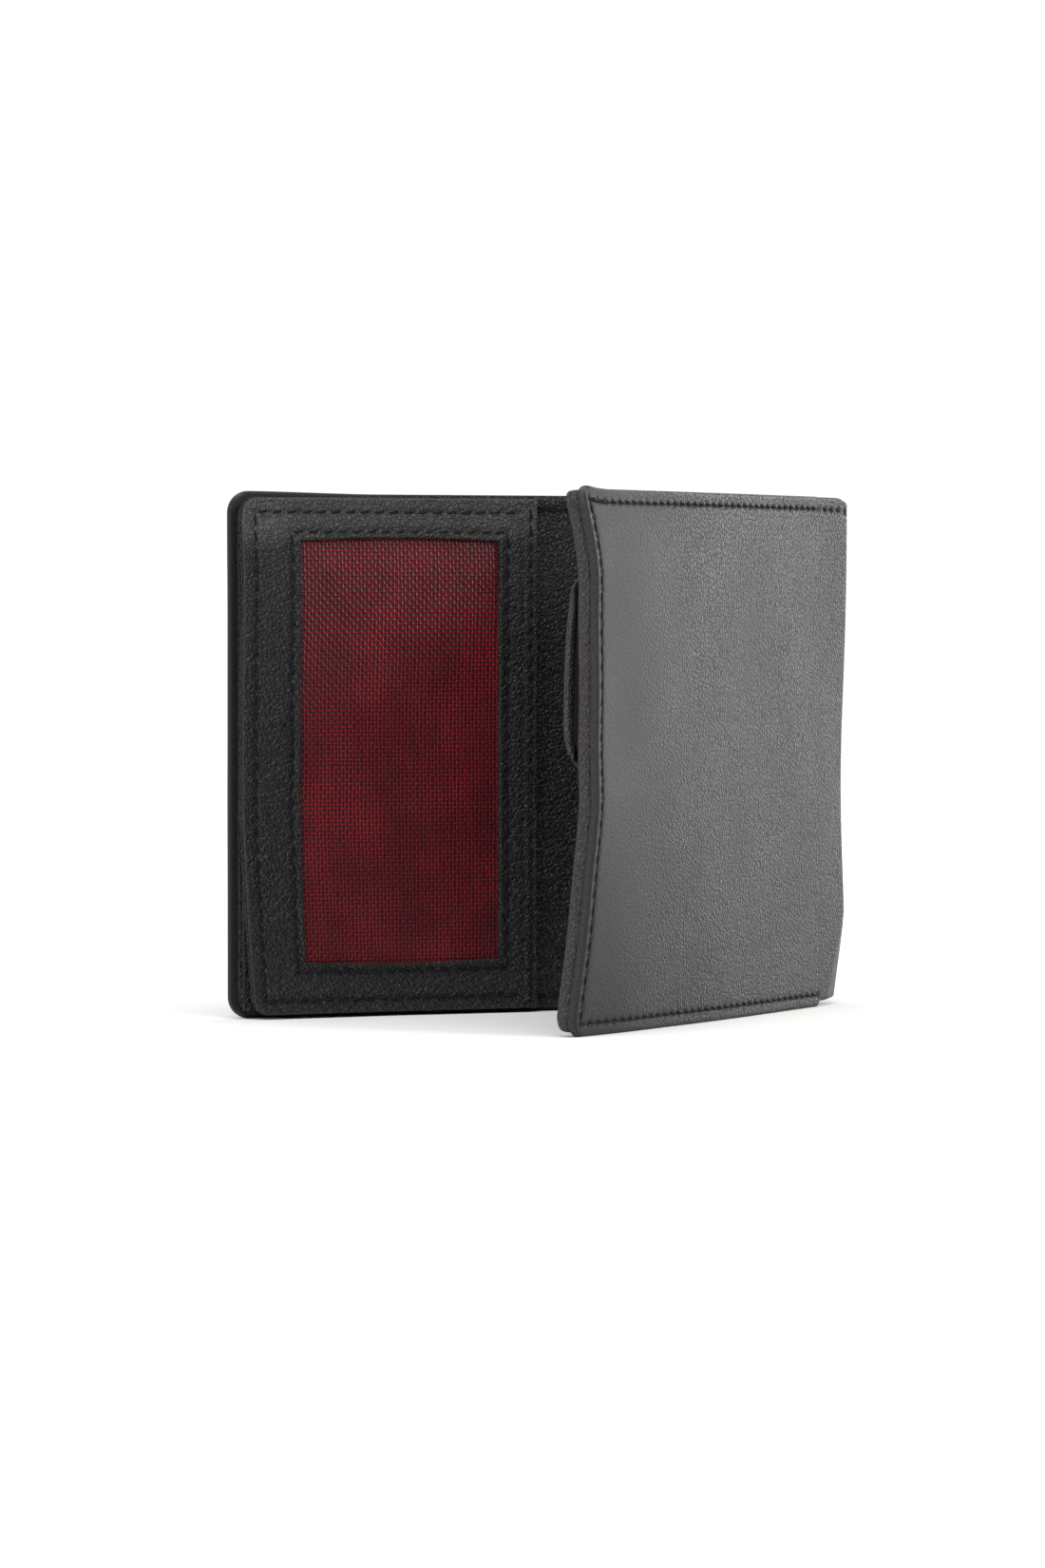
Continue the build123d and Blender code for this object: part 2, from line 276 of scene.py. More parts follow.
ROLL_STEPS = 1 - np.cos(np.linspace(0, math.pi / 2, 5))
SEAM_SIDES = (-1.1, -0.7, -0.35, 0.0, 0.35, 0.7, 1.1)


def lines(low, high, step, roll=0.0, seams=(), extra=()):
    """Grid lines a step apart, with closer ones over a rolled edge and beside each seam."""
    close = [low + roll * r for r in ROLL_STEPS] + [high - roll * r for r in ROLL_STEPS]
    close += [s + side for s in seams for side in SEAM_SIDES] + list(extra)
    special = []
    for place in sorted(close):
        if low <= place <= high and (not special or place - special[-1] > 0.02):
            special.append(place)
    special[-1] = high
    even = np.linspace(low, high, max(2, round((high - low) / step) + 1))
    spare = np.abs(even[:, None] - np.array(special)[None]).min(1) > 0.3 * step
    return np.sort(np.concatenate([even[spare], special]))


def solid(name, cut, points, faces, wear_and_light_mark, material):
    """A closed mesh in metres, with its flat cut in millimetres and how much paler each point is kept for
    its material: rubbed leather, and painted light on some pieces.
    """
    a, b, c = (points[faces[:, i]] for i in (0, 1, 2))
    d = points[faces[:, 3]]
    volume = (np.einsum("ij,ij->i", a, np.cross(b, c)) + np.einsum("ij,ij->i", a, np.cross(c, d))).sum()
    if volume < 0:
        faces = faces[:, ::-1]
    mesh = bpy.data.meshes.new(name)
    mesh.from_pydata((points / 1000).tolist(), [], faces.tolist())
    for label, kind, field, values in (("cut", "FLOAT_VECTOR", "vector", cut),
                                       ("wear_and_light_mark", "FLOAT", "value", wear_and_light_mark)):
        layer = mesh.attributes.new(label, kind, "POINT")
        layer.data.foreach_set(field, values.astype(np.float32).ravel())
    mesh.materials.append(material)
    mesh.shade_smooth()
    mesh.set_sharp_from_angle(angle=math.radians(50))
    piece = bpy.data.objects.new(name, mesh)
    bpy.context.collection.objects.link(piece)
    return piece


def round_corner(x, z, x_edge, z_edge, radius):
    """Bends the grid's square corner at an edge onto a round one."""
    if radius:
        side_x, side_z = (1 if x.mean() > x_edge else -1), (1 if z.mean() > z_edge else -1)
        a, b = 1 - (x - x_edge) * side_x / radius, 1 - (z - z_edge) * side_z / radius
        inside = (a > 1e-6) & (b > 1e-6)
        a, b = np.where(inside, a, 1), np.where(inside, b, 1)
        angle = np.where(a >= b, b / a, 2 - a / b) * math.pi / 4
        reach = np.maximum(a, b) * radius
        x = np.where(inside, x_edge + side_x * (radius - reach * np.cos(angle)), x)
        z = np.where(inside, z_edge + side_z * (radius - reach * np.sin(angle)), z)
    return x, z


EDGE_WEAR = 0.4


def panel(name, xs, zs, depths, place, material, corners=(0, 0, 0, 0), roll=(0.1, 0.1), rolled="lrbt",
          hole=None, press=(None, None), shape=None, wear_and_light=None):
    """A closed sheet on grid lines xs and zs, between two depths, with rolled edges and round corners.

    corners are the radii low and high at the first x, then low and high at the last. roll is the
    edge radius of the outer and the inner face, along the sides named in rolled. press gives how
    deep each face is pressed in, and wear how much paler it is, from 0 to 1, besides its edges:
    rubbed leather, and painted light on some pieces.
    """
    flat_x, flat_z = np.meshgrid(xs, zs, indexing="ij")
    middle_x, middle_z = np.meshgrid((xs[1:] + xs[:-1]) / 2, (zs[1:] + zs[:-1]) / 2, indexing="ij")
    keep = np.zeros((len(xs) + 1, len(zs) + 1), bool)
    keep[1:-1, 1:-1] = True
    sides = {"l": flat_x - xs[0], "r": xs[-1] - flat_x, "b": flat_z - zs[0], "t": zs[-1] - flat_z}
    edge = np.full(flat_x.shape, 99.0)
    for side in rolled:
        edge = np.minimum(edge, sides[side])
    if hole:
        left, right, low, high = hole
        keep[1:-1, 1:-1] &= ~((middle_x > left) & (middle_x < right) & (middle_z > low) & (middle_z < high))
        beyond = np.maximum.reduce([left - flat_x, flat_x - right, low - flat_z, flat_z - high])
        edge = np.minimum(edge, np.maximum(beyond, 0))
    x, z = flat_x, flat_z
    square = ((a, b) for a in (xs[0], xs[-1]) for b in (zs[0], zs[-1]))
    for (x_edge, z_edge), radius in zip(square, corners):
        x, z = round_corner(x, z, x_edge, z_edge, radius)
    depth = []
    for face, (level, radius, pressed) in enumerate(zip(depths, roll, press)):
        level = level(x, z) if callable(level) else np.full(x.shape, float(level))
        fall = radius - np.sqrt(np.maximum(radius ** 2 - np.maximum(radius - edge, 0) ** 2, 0))
        fall = fall + (pressed(x, z) if pressed else 0)
        depth.append(level + fall if face == 0 else level - fall)
    rows, count = len(zs), x.size
    cut = np.concatenate([np.stack([x, z, d], -1).reshape(-1, 3) for d in depth])
    i, j = np.nonzero(keep[1:-1, 1:-1])
    near = np.stack([i * rows + j, (i + 1) * rows + j, (i + 1) * rows + j + 1, i * rows + j + 1], -1)
    faces = [near, near[:, ::-1] + count]
    after = keep[1:, 1:]
    for before, run_i, run_j, flip in ((keep[:-1, 1:], 0, 1, False), (keep[1:, :-1], 1, 0, True)):
        for bare, reverse in ((after & ~before, flip), (before & ~after, not flip)):
            i, j = np.nonzero(bare)
            start, stop = i * rows + j, (i + run_i) * rows + j + run_j
            ring = np.stack([start, stop, stop + count, start + count], -1)
            faces.append(ring[:, ::-1] if reverse else ring)
    faces = np.concatenate(faces)
    used, faces = np.unique(faces, return_inverse=True)
    faces = faces.reshape(-1, 4)
    cut = cut[used]
    # Paler near every edge, as rubbed leather; a piece's own function adds more, as rubbed leather or as
    # painted light.
    wear_and_light_mark = np.exp(-np.concatenate([edge.ravel()] * 2)[used] / EDGE_WEAR) * 0.85
    if wear_and_light:
        wear_and_light_mark = np.maximum(wear_and_light_mark, wear_and_light(*cut.T[:2]))
    shaped = shape(*cut.T) if shape else cut.T
    return solid(name, cut, place(*shaped), faces, wear_and_light_mark, material)


def along_run(corners, pitch=PITCH):
    """The middles and directions of the stitches on each straight part of a seam."""
    for (x0, z0), (x1, z1) in zip(corners, corners[1:]):
        length = math.hypot(x1 - x0, z1 - z0)
        way = ((x1 - x0) / length, (z1 - z0) / length)
        count = max(1, round(length / pitch))
        for k in range(count):
            at = (k + 0.5) * length / count
            yield x0 + way[0] * at, z0 + way[1] * at, way, length / count


VALLEY, NEEDLE_HOLE = 0.05, 0.45


def seam_press(runs):
    """How a sewn row presses leather in: a soft valley, a tight groove and a pit at each needle hole."""
    def press(x, z):
        total = np.zeros_like(x)
        for corners in runs:
            for (x0, z0), (x1, z1) in zip(corners, corners[1:]):
                length = math.hypot(x1 - x0, z1 - z0)
                way = ((x1 - x0) / length, (z1 - z0) / length)
                at = (x - x0) * way[0] + (z - z0) * way[1]
                off = np.abs((z - z0) * way[0] - (x - x0) * way[1])
                over = np.maximum(np.maximum(-at, at - length), 0)
                count = max(1, round(length / PITCH))
                holes = (0.5 + 0.5 * np.cos(at / length * count * 2 * math.pi)) ** 5
                fade = np.exp(-(over / 0.8) ** 2)
                valley = VALLEY * np.exp(-(off / 1.2) ** 2)
                valley = valley + (VALLEY + NEEDLE_HOLE * holes) * np.exp(-(off / 0.45) ** 2)
                total = np.maximum(total, valley * fade)
        return total
    return press


STITCH = 2.3
THREAD = 0.25
STITCH_SLANT = 0.14
STITCH_RINGS = 7
THREAD_SIDES = 6


def tube_faces(rings):
    """The faces of a closed six-sided tube whose points run ring after ring."""
    ring, side = np.meshgrid(np.arange(rings - 1) * THREAD_SIDES, np.arange(THREAD_SIDES), indexing="ij")
    after = (side + 1) % THREAD_SIDES
    wall = np.stack([ring + side, ring + after, ring + after + THREAD_SIDES, ring + side + THREAD_SIDES], -1)
    last = (rings - 1) * THREAD_SIDES
    ends = np.array([[3, 2, 1, 0], [5, 4, 3, 0], [last, last + 1, last + 2, last + 3],
                     [last, last + 3, last + 4, last + 5]])
    return np.concatenate([wall.reshape(-1, 4), ends])


def stitches(name, runs, level, outward, place, material, shape=None):
    """A row of waxed thread stitches, each diving into its needle holes at both ends.

    level is the depth of the face that is sewn, and outward is -1 where that face looks to less depth.
    """
    t = np.linspace(-1, 1, STITCH_RINGS)
    rise = 0.10 * (1 - t ** 2) - 0.34 * np.abs(t) ** 4 - 0.10
    width = THREAD * (1 - 0.45 * np.abs(t) ** 6)
    turn = np.arange(THREAD_SIDES) * 2 * math.pi / THREAD_SIDES
    cuts = []
    for run in runs:
        for x, z, way, pitch in along_run(run):
            reach = (pitch - PITCH + STITCH) / 2
            slant = STITCH_SLANT * t
            side = np.cos(turn)[None] * width[:, None] + slant[:, None]
            up = np.sin(turn)[None] * width[:, None] * 0.75 + rise[:, None]
            run_x = x + way[0] * t[:, None] * reach - way[1] * side
            run_z = z + way[1] * t[:, None] * reach + way[0] * side
            cuts.append(np.stack([run_x, run_z, level + outward * up], -1).reshape(-1, 3))
    block = STITCH_RINGS * THREAD_SIDES
    faces = np.concatenate([tube_faces(STITCH_RINGS) + k * block for k in range(len(cuts))])
    cut = np.concatenate(cuts)
    shaped = shape(*cut.T) if shape else cut.T
    return solid(name, cut, place(*shaped), faces, np.zeros(len(cut)), material)


# Drummed nappa calf: a pebble with soft creases between the pebbles, drawn half as coarse again
# as the real one so that it shows, and flattened by handling near a cover's free edge. Its satin
# finish coat greys towards the light at a low angle. It is paler and drier where it is rubbed, and
# the same paler colour is painted on as painted light on the window leaf's top, the coin flap's
# sides and the front panel's rolled edge.
# The creases wander over BEND, and the pebble is deeper or shallower over each PATCH.
PEBBLE = 0.9
PORE = 0.5
BEND = 2.0
PATCH = 20.0
SMOOTHED_OVER = 40.0


def nappa(name, dark, pale, worn_and_lit, roughness, pebble_depth, shine, smooth_from=2 * COVER):
    """Grained nappa; pebble_depth is in millimetres, and it is smoother beyond smooth_from along a cover."""
    material, tree = surface(name)
    cut = add(tree, "Attribute", attribute_name="cut").outputs["Vector"]
    warp = add(tree, "TexNoise", {"Vector": cut, "Scale": 1 / BEND, "Detail": 3.0})
    bent = add(tree, "VectorMath", {0: cut, 1: warp.outputs["Color"]}, operation="ADD")
    cells = add(tree, "TexVoronoi", {"Vector": bent.outputs[0], "Scale": 1 / PEBBLE, "Randomness": 1.0},
                feature="DISTANCE_TO_EDGE")
    crease = add(tree, "MapRange", {"Value": cells.outputs["Distance"], "From Max": 0.22, "To Max": 1.0},
                 interpolation_type="SMOOTHSTEP")
    fine = add(tree, "TexNoise", {"Vector": cut, "Scale": 1 / PORE, "Detail": 4.0, "Roughness": 0.7})
    patches = add(tree, "TexNoise", {"Vector": cut, "Scale": 1 / PATCH, "Detail": 4.0, "Roughness": 0.6})
    run = add(tree, "Math", {0: add(tree, "SeparateXYZ", {0: cut}).outputs["X"]}, operation="ABSOLUTE")
    kept = add(tree, "MapRange", {"Value": run.outputs[0], "From Min": smooth_from,
                                  "From Max": smooth_from + SMOOTHED_OVER, "To Min": 1.0, "To Max": 0.15},
               interpolation_type="SMOOTHSTEP")
    depth = add(tree, "MapRange", {"Value": patches.outputs["Fac"], "From Min": 0.3, "From Max": 0.6,
                                   "To Min": 0.55, "To Max": 1.0})
    grain = add(tree, "Math", {0: depth.outputs[0], 1: kept.outputs[0]}, operation="MULTIPLY")
    pebbled = add(tree, "Math", {0: crease.outputs[0], 1: grain.outputs[0]}, operation="MULTIPLY")
    height = add(tree, "Math", {0: fine.outputs["Fac"], 1: 0.5, 2: pebbled.outputs[0]},
                 operation="MULTIPLY_ADD")
    # The paler mark read here is rubbed leather, and painted light on some pieces.
    wear_and_light_mark = add(tree, "Attribute", attribute_name="wear_and_light_mark").outputs["Fac"]
    patchy_wear_and_light = add(tree, "Math", {0: wear_and_light_mark, 1: fine.outputs["Fac"]}, operation="MULTIPLY")
    wear_and_light_paling = add(tree, "MapRange", {"Value": patchy_wear_and_light.outputs[0], "From Min": 0.25, "From Max": 1.2})
    shade = add(tree, "Mix", {"Factor": pebbled.outputs[0], "A": srgb(dark), "B": srgb(pale)},
                data_type="RGBA")
    colour = add(tree, "Mix", {"Factor": wear_and_light_paling.outputs[0], "A": shade.outputs["Result"], "B": srgb(worn_and_lit)},
                 data_type="RGBA")
    gloss = add(tree, "MapRange", {"Value": pebbled.outputs[0], "From Max": 1.0,
                                   "To Min": roughness + 0.12, "To Max": roughness})
    bump = add(tree, "Bump", {"Height": height.outputs[0], "Strength": 1.0, "Distance": pebble_depth / 1000})
    finish_with(tree, Base_Color=colour.outputs["Result"], Roughness=gloss.outputs[0],
                Normal=bump.outputs[0], IOR=1.5, Specular_IOR_Level=shine)
    return material


# The paler third colour serves rubbed leather and painted light alike.
cover_nappa = nappa("drummed_nappa_calf_satin_black", "#0c0c0d", "#222223", "#565453", roughness=0.43,
                    pebble_depth=0.22, shine=0.36, smooth_from=75.0)

# Waxed polyester thread: three plies twisted, near black with a small dull shine.
PLY_PITCH, PLY_RELIEF = 0.7, 0.04
waxed_thread, tree = surface("waxed_polyester_thread_black")
cut = add(tree, "Attribute", attribute_name="cut").outputs["Vector"]
plies = add(tree, "TexWave", {"Vector": cut, "Scale": 1 / PLY_PITCH, "Distortion": 0.5},
            bands_direction="DIAGONAL")
bump = add(tree, "Bump", {"Height": plies.outputs["Fac"], "Distance": PLY_RELIEF / 1000})
finish_with(tree, Base_Color=srgb("#08080a"), Roughness=0.7, Normal=bump.outputs[0], Specular_IOR_Level=0.25)

TURN_IN = BARE_SPINE + 0.5


def turned(x, z):
    """The inner face of the outer leather: as thick as leather and turned hem near the cover's edges."""
    free = COVER - np.abs(x)
    near = np.minimum(np.minimum(free, z), HEIGHT - z)
    band = ease((HEM - near) / 0.8) * ease((np.abs(x) - TURN_IN) / 1.0)
    return LEATHER + (TURNED - LEATHER) * band


# A cover's seam runs round its three free sides, and over the spine's top on the front.
FREE = COVER - COVER_MARGIN
COVER_RUNS = {
    -1: [[(-BARE_SPINE - 1, COVER_MARGIN), (-FREE, COVER_MARGIN), (-FREE, HEIGHT - COVER_MARGIN),
          (-BARE_SPINE - 1, HEIGHT - COVER_MARGIN)]],
    1: [[(BARE_SPINE + 1, COVER_MARGIN), (FREE, COVER_MARGIN), (FREE, HEIGHT - COVER_MARGIN),
         (1.5, HEIGHT - COVER_MARGIN)]],
}


def wrap_wear(x, z):
    """Rubbed along the fold, and scuffed at the corners that meet a pocket first."""
    corner = np.zeros_like(x)
    for corner_x, corner_z, strength in ((COVER, HEIGHT, 2.6), (-COVER, HEIGHT, 2.0), (-COVER, 0, 1.6)):
        off = np.hypot(x - corner_x * 0.99, z - corner_z)
        corner = np.maximum(corner, strength * np.exp(-(off / 1.5) ** 2))
    return np.maximum(corner, 0.45 * np.exp(-(x / 2.4) ** 2))


FINE, FOLD_FINE = 0.6, 0.25
OUTER_ROLL, INNER_ROLL = 0.75, 0.45
SPINE_CUT = BARE_SPINE / 2
cover_seams_z = (COVER_MARGIN, HEIGHT - COVER_MARGIN)
wrap_zs = lines(0, HEIGHT, FINE, OUTER_ROLL, cover_seams_z, (COVER_CORNER, HEIGHT - COVER_CORNER))
for name, low, high, rolled, radii, bodies, nodes in (
    ("outer_leather_back", -COVER, -SPINE_CUT, "lbt", (COVER_CORNER, COVER_CORNER, 0, 0),
     ("back_half", "spine_back_half"), ("back_cover_leather", "back_turned_edge")),
    ("outer_leather_fold", -SPINE_CUT, SPINE_CUT, "bt", (0, 0, 0, 0),
     ("spine_back_half", "spine_front_half"), ("spine_leather_back", "spine_leather_front")),
    ("outer_leather_front", SPINE_CUT, COVER, "rbt", (0, 0, COVER_CORNER, COVER_CORNER),
     ("spine_front_half", "front_half"), ("front_cover_leather", "front_turned_edge")),
):
    step = FOLD_FINE if "fold" in name else FINE
    xs = lines(low, high, step, OUTER_ROLL, [s for s in (-FREE, FREE) if low < s < high],
               [s for s in (-COVER + COVER_CORNER, COVER - COVER_CORNER) if low < s < high])
    piece = panel(name, xs, wrap_zs, (0.0, turned), on_wrap, cover_nappa, radii, (OUTER_ROLL, INNER_ROLL),
                  rolled, press=(seam_press(COVER_RUNS[-1] + COVER_RUNS[1]), None), shape=wrap_shape,
                  wear_and_light=wrap_wear)
    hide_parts(*nodes)
    if "back" in name:
        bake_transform(piece)
    elif "front" in name:
        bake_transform(piece)
    else:
        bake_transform(piece)

for side, body, node in ((-1, "back_half", "back_cover_seam"), (1, "front_half", "front_cover_seam")):
    runs = [COVER_RUNS[side][0][:-1] + [(side * (BARE_SPINE + 1), HEIGHT - COVER_MARGIN)]]
    thread = stitches(node + "_thread", runs, 0.0, -1, on_wrap, waxed_thread, wrap_shape)
    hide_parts(node)
    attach(thread, body)

# The front's row starts with a few stitches sewn over each other, which end in a small dark lump.
start_z = HEIGHT - COVER_MARGIN
knot_runs = [[(FREE - 0.8, start_z + 0.12), (FREE - 6.8, start_z - 0.05)],
             [(FREE - 0.2, start_z - 0.15), (FREE - 3.2, start_z + 0.2)]]
thread = stitches("cover_backstitch_thread", knot_runs, -0.16, -1, on_wrap, waxed_thread, wrap_shape)
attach(thread, "front_half")
thread = stitches("spine_top_thread", [[(BARE_SPINE - 1.5, start_z), (3.0, start_z)]], 0.0, -1, on_wrap,
                  waxed_thread, wrap_shape)
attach(thread, "spine_front_half")

# ---- Cover linings and inner panels ----
# Burgundy lining cloth is glued inside the outer leather. The thinner inner panels make the
# note compartment's wall; their edges are turned, and are sewn through with the covers.
CLOTH = 0.2
PANEL_FROM, PANEL_FACE = 1.6, 2.4
LINING_INSET = 1.0
CLOTH_EDGE = 0.06
WEAVE, WEAVE_RELIEF = 0.35, 0.04


def lining(name, dark, pale):
    """Plain woven polyester with a low silky sheen; its weave is drawn coarser than it is, to show, and its
    colour carries broad painted light and shade, as of soft creasing.
    """
    material, tree = surface(name)
    cut = add(tree, "Attribute", attribute_name="cut").outputs["Vector"]
    axes = add(tree, "SeparateXYZ", {0: cut})
    waves = []
    for axis in ("X", "Y"):
        turns = add(tree, "Math", {0: axes.outputs[axis], 1: math.pi / WEAVE}, operation="MULTIPLY")
        waves.append(add(tree, "Math", {0: turns.outputs[0]}, operation="SINE").outputs[0])
    weave = add(tree, "Math", {0: waves[0], 1: waves[1]}, operation="MULTIPLY")
    level = add(tree, "MapRange", {"Value": weave.outputs[0], "From Min": -1.0})
    # Painted light and shade: broad soft noise, as of the cloth lying in gentle waves.
    painted_fold_shade = add(tree, "TexNoise", {"Vector": cut, "Scale": 0.09, "Detail": 2.0})
    texture_and_painted_shade = add(tree, "Math", {0: level.outputs[0], 1: painted_fold_shade.outputs["Fac"]}, operation="MULTIPLY")
    shade = add(tree, "Mix", {"Factor": texture_and_painted_shade.outputs[0], "A": srgb(dark), "B": srgb(pale)},
                data_type="RGBA")
    bump = add(tree, "Bump", {"Height": level.outputs[0], "Distance": WEAVE_RELIEF / 1000})
    finish_with(tree, Base_Color=shade.outputs["Result"], Roughness=0.6, Normal=bump.outputs[0],
                Sheen_Weight=0.3, Sheen_Roughness=0.4)
    return material


burgundy_lining = lining("woven_polyester_lining_burgundy", "#240208", "#4a0814")


def laid_cloth(name, x_span, z_span, depth, place, body, node, shape):
    """A flat piece of lining, glued down."""
    cloth = panel(name, lines(*x_span, 3.0, CLOTH_EDGE), lines(*z_span, 3.0, CLOTH_EDGE),
                  (depth, depth + CLOTH), place, burgundy_lining, roll=(CLOTH_EDGE, CLOTH_EDGE), shape=shape)
    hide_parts(node)
    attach(cloth, body)


lining_z = (LINING_INSET, HEIGHT - LINING_INSET)
laid_cloth("back_lining_cloth", (LINING_INSET, COVER - BARE_SPINE - 0.5), lining_z, LEATHER, on_back,
           "back_half", "back_cover_lining", back_shape)
laid_cloth("front_lining_cloth", (BARE_SPINE + 0.5, COVER - LINING_INSET), lining_z, LEATHER, on_front,
           "front_half", "front_cover_lining", front_shape)
spine_reach = BARE_SPINE - 0.5
spine_cloth = panel("spine_lining_cloth", lines(-spine_reach, spine_reach, 0.3),
                    lines(SPINE_LOW, HEIGHT - 1.0, 2.0, CLOTH_EDGE), (LEATHER, LEATHER + CLOTH), on_wrap,
                    burgundy_lining, roll=(CLOTH_EDGE, CLOTH_EDGE), shape=wrap_shape)
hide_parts("spine_lining_back", "spine_lining_front")
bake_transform(spine_cloth)

# The panels' nappa is blacker than the covers', and its pebble is deeper and shines a little more.
# Its paler third colour serves rubbed leather and painted light alike.
panel_nappa = nappa("panel_nappa_calf_satin_black", "#070708", "#18181a", "#4c4a48", roughness=0.38,
                    pebble_depth=0.34, shine=0.45)
PANEL_INSET = 0.6
PANEL_HEM = 2.8
PANEL_CORNER = 3.6
PANEL_ROLL = 0.35
BACK_SEAM_X, FRONT_SEAM_X = 60.5, 49.5
HEM_LIP = 0.25


def hem_press(runs):
    """A panel's top hem: the leather folded under lies a little proud above its seam."""
    rows = seam_press(runs)

    def press(x, z):
        return rows(x, z) - HEM_LIP * ease((z - (HEIGHT - PANEL_HEM - 0.3)) / 0.8)
    return press


EDGE_ROLL = 1.1
ROLL_WIDTH, ROLL_RISE = 3.6, 1.85


def rolled_free_edge(x, z):
    """The front panel's inner face: its free edge is turned over the pocket's edge in a thick roll."""
    return PANEL_FACE + ROLL_RISE * ease((x - (COVER - ROLL_WIDTH)) / 0.9)


def painted_roll_light(x, z):
    """Painted light: the roll at the front panel's free edge is painted paler, a painted highlight on it."""
    return 1.3 * ease((x - (COVER - 4.0)) / 1.2)


panel_z = (PANEL_INSET, HEIGHT - PANEL_INSET)
hems_z = (PANEL_HEM, HEIGHT - PANEL_HEM)
corners_z = (PANEL_INSET + PANEL_CORNER, HEIGHT - PANEL_INSET - PANEL_CORNER)
for name, place, x_span, radii, seam_x, shape, body, (node, seam_node), rolls, inner_face in (
    ("back_panel_leather", on_back, (PANEL_INSET, COVER - BARE_SPINE - 1),
     (PANEL_CORNER, PANEL_CORNER, 0, 0), (BACK_SEAM_X, COVER - BARE_SPINE - 1), back_shape, "back_half",
     ("back_inner_panel", "back_panel_seam"), (PANEL_ROLL, PANEL_ROLL), PANEL_FACE),
    ("front_panel_leather", on_front, (BARE_SPINE + 1, COVER - PANEL_INSET),
     (0, 0, PANEL_CORNER, PANEL_CORNER), (BARE_SPINE + 1, FRONT_SEAM_X), front_shape, "front_half",
     ("front_inner_panel", "front_panel_seam"), (PANEL_ROLL, EDGE_ROLL), rolled_free_edge),
):
    runs = [[(seam_x[0], z), (seam_x[1], z)] for z in hems_z]
    roll_xs = x_span[1] - np.arange(1, ROLL_WIDTH, 0.3)
    xs = lines(*x_span, 1.0, rolls[1], (), (x_span[0] + PANEL_CORNER, x_span[1] - PANEL_CORNER, *roll_xs))
    zs = lines(*panel_z, 1.0, rolls[1], hems_z, corners_z)
    # The front panel's paler free-edge roll is painted light.
    piece = panel(name, xs, zs, (PANEL_FROM, inner_face), place, panel_nappa, radii, rolls,
                  press=(None, hem_press(runs)), shape=shape, wear_and_light=painted_roll_light)
    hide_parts(node)
    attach(piece, body)
    thread = stitches(seam_node + "_thread", runs, PANEL_FACE, 1, place, waxed_thread, shape)
    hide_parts(seam_node)
    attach(thread, body)

# ---- Card slots ----
# Two slots of skived leather lie one over the other behind the leaf. Their mouths are folded
# over, and their other edges are caught in the cover's seam.
SLOT = 0.4
SLOT_EDGE = 0.18
SLOT_X = (1.2, 56.2)
SLOT_LOW = 1.5
MOUTH_LINE = 3.0


def mouth_press(top):
    """The creased line that is pressed below a slot's folded mouth."""
    def press(x, z):
        return 0.12 * np.exp(-((top - MOUTH_LINE - z) / 0.35) ** 2)
    return press


for name, top, depth, node in (("upper_slot_leather", 80.0, PANEL_FACE, "card_slot_upper"),
                               ("lower_slot_leather", 64.0, PANEL_FACE + SLOT, "card_slot_lower")):
    slot_piece = panel(name, lines(*SLOT_X, 1.5, SLOT_EDGE),
                       lines(SLOT_LOW, top, 1.5, SLOT_EDGE, (top - MOUTH_LINE,)), (depth, depth + SLOT),
                       on_back, panel_nappa, roll=(0.15, 0.2), press=(None, mouth_press(top)),
                       shape=back_shape)
    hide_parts(node)
    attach(slot_piece, "back_half")

# ---- Window leaf ----
# A third leaf turns like a page beside the back cover: a leather back and a leather frame with
# a burgundy net between them, so that a card shows. The frame's leather runs on over the hinge.
LEAF_LEFT, LEAF_FOLD, LEAF_RIGHT = 0.3, 56.9, 59.8
LEAF_LOW, LEAF_HIGH = 0.8, 95.2
LEAF_BACK, LEAF_NET, LEAF_FACE = 3.4, 4.1, 5.2
FRAME_LEATHER = 0.8
FRAME_EDGE = 0.38
BACK_SHEET = 0.5
LEAF_CORNER = 3.0
WINDOW = (11.8, 51.8, 10.3, 87.3)
LEAF_MARGIN = 2.5
WINDOW_MARGIN = 1.8
WINDOW_LIP = 0.28
HINGE_SEAM_X = 58.4


def leaf_shape(x, z, depth):
    """The leaf's free corners lift off the cover, the lower one most, as a handled leaf does."""
    free = np.clip((34 - x) / 34, 0, 1) ** 1.6
    low = np.clip((38 - z) / 38, 0, 1) ** 1.3
    high = np.clip((z - 74) / 21, 0, 1) ** 2
    lift = free * (3.1 * low + 0.9 * high)
    drawn = 1.3 * low * np.clip((50 - x) / 50, 0, 1)
    still = ease((LEAF_FOLD - 1 - x) / 8)
    lean = (0.8 * ease((z - 80) / 16) - 0.6 * np.exp(-((z - 78) / 13) ** 2)) * still
    uneven = still * ripple(x, z, 21, 0.14) + back_shape(x, z, 0 * depth)[2]
    return x + drawn, z, depth + lift - lean + uneven


def window_shape(x, z, depth):
    """The window's edges gave a little: its top bows up and its bottom sags."""
    x0, x1, z0, z1 = WINDOW
    span = np.sin(np.clip((x - x0) / (x1 - x0), 0, 1) * math.pi)
    up = 0.55 * span * ease(1 - (z1 - z) / 14) * ease(1 - (z - z1) / 5)
    down = 0.6 * span * ease(1 - (z - z0) / 14) * ease(1 - (z0 - z) / 5)
    return leaf_shape(x, z + up - down, depth)


def inset_run(left, right, low, high):
    """A seam round three sides, that starts and ends at the right."""
    return [(right, low), (left, low), (left, high), (right, high)]


